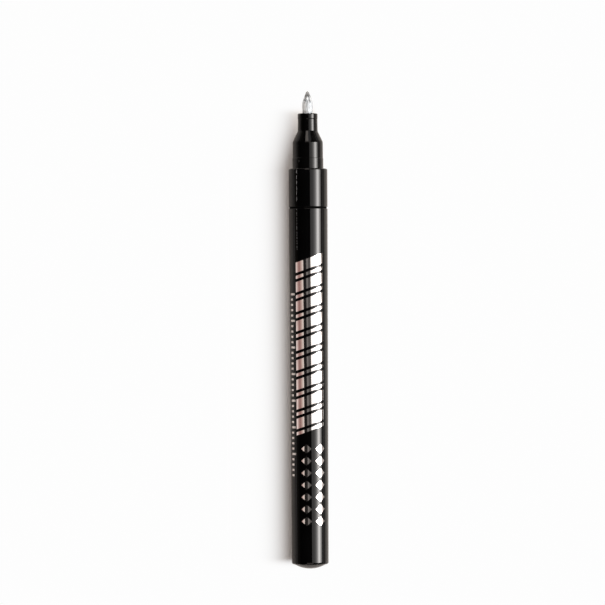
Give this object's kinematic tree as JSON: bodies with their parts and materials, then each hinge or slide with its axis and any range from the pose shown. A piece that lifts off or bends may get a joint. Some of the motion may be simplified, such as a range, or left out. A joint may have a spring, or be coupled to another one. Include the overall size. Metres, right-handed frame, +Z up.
{
  "type": "paint marker",
  "caption": "Slim black pump-action paint marker with a bullet nib, without its cap, lying on its side.",
  "frame": {"origin": "under the middle of the marker's length, on the surface that it lies on", "axes": "+Y along the marker towards the nib, +Z up"},
  "size_m": [0.011, 0.135, 0.011],
  "materials": {
    "gloss_black": "gloss",
    "satin_black": "satin",
    "plug_black": "satin",
    "chromed_fibre": "soft chrome on pressed fibre",
    "natural_plastic": "satin",
    "white_plastic": "satin",
    "seal_rubber": "matt",
    "valve_rubber": "matt",
    "spring_steel": "drawn wire",
    "ball_steel": "polished"
  },
  "bodies": {
    "housing": {"barrel_tube": "gloss_black", "tail_plug": "plug_black", "grip_collar": "gloss_black", "nose_shell": "satin_black", "nib_guide_bush": "satin_black", "barrel_seal_ring": "seal_rubber", "valve_body": "white_plastic", "valve_gasket": "valve_rubber", "spring_retainer": "white_plastic", "valve_spring": "spring_steel"},
    "valve": {"nib_holder": "white_plastic", "valve_stem": "natural_plastic", "poppet_washer": "valve_rubber"},
    "nib": {"nib": "chromed_fibre"},
    "ball": {"mixing_ball": "ball_steel"}
  },
  "joints": [
    {"name": "valve_press", "type": "slide", "parent": "housing", "child": "valve", "axis": [0, 1, 0], "range_m": [-0.002, 0], "stiffness_N_per_m": 800, "springref_m": 0.002, "deforming": ["valve_spring"]},
    {"name": "nib_pull", "type": "slide", "parent": "valve", "child": "nib", "axis": [0, 1, 0], "range_m": [0, 0.0145]},
    {"name": "ball_roll", "type": "slide", "parent": "housing", "child": "ball", "axis": [0, 1, 0], "range_m": [-0.06, 0.0172]}
  ]
}
